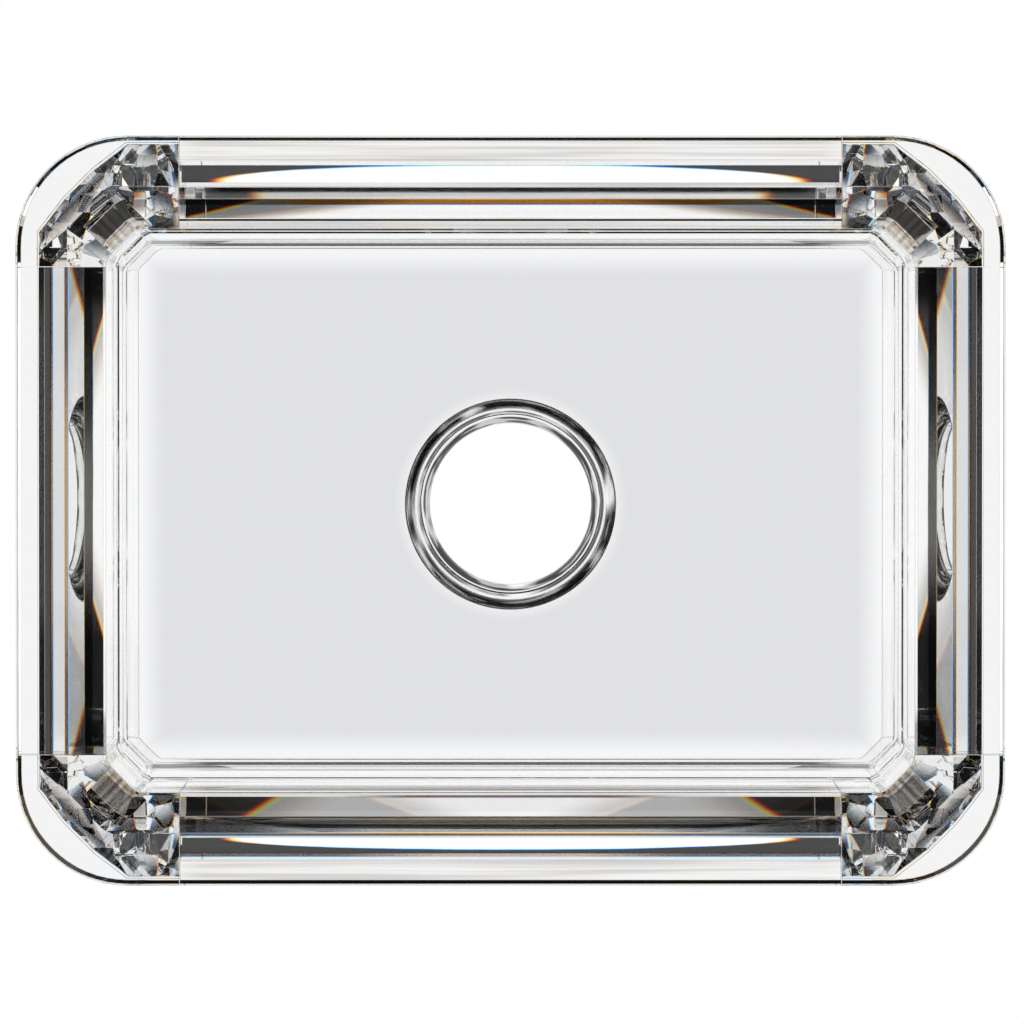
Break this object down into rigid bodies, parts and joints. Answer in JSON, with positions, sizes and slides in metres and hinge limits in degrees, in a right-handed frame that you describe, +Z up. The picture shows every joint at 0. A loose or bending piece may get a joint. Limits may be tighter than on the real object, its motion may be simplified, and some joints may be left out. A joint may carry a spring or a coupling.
{
  "type": "undermount kitchen sink",
  "caption": "Single-bowl undermount kitchen sink in clear cut crystal: flanged rim, step-cut walls, brilliant-cut corner blocks, floor slab with a low skirt, open drain collar.",
  "frame": {"origin": "centre of the underside: on the plane that the plinth stands on, below the middle of the drain", "axes": "+X to the right along the longer side, +Y to the back, +Z up"},
  "size_m": [0.533, 0.404, 0.19],
  "materials": {
    "crystal_rim": "polished",
    "crystal_wall": "polished",
    "crystal_corner": "polished",
    "crystal_floor": "polished",
    "crystal_collar": "polished"
  },
  "bodies": {
    "root": {"back_left_corner_block": "crystal_corner", "back_left_rim_corner": "crystal_rim", "back_right_corner_block": "crystal_corner", "back_right_rim_corner": "crystal_rim", "back_rim_bar": "crystal_rim", "back_wall": "crystal_wall", "drain_collar": "crystal_collar", "floor_slab": "crystal_floor", "front_left_corner_block": "crystal_corner", "front_left_rim_corner": "crystal_rim", "front_right_corner_block": "crystal_corner", "front_right_rim_corner": "crystal_rim", "front_rim_bar": "crystal_rim", "front_wall": "crystal_wall", "left_rim_bar": "crystal_rim", "left_wall": "crystal_wall", "right_rim_bar": "crystal_rim", "right_wall": "crystal_wall"}
  },
  "joints": []
}
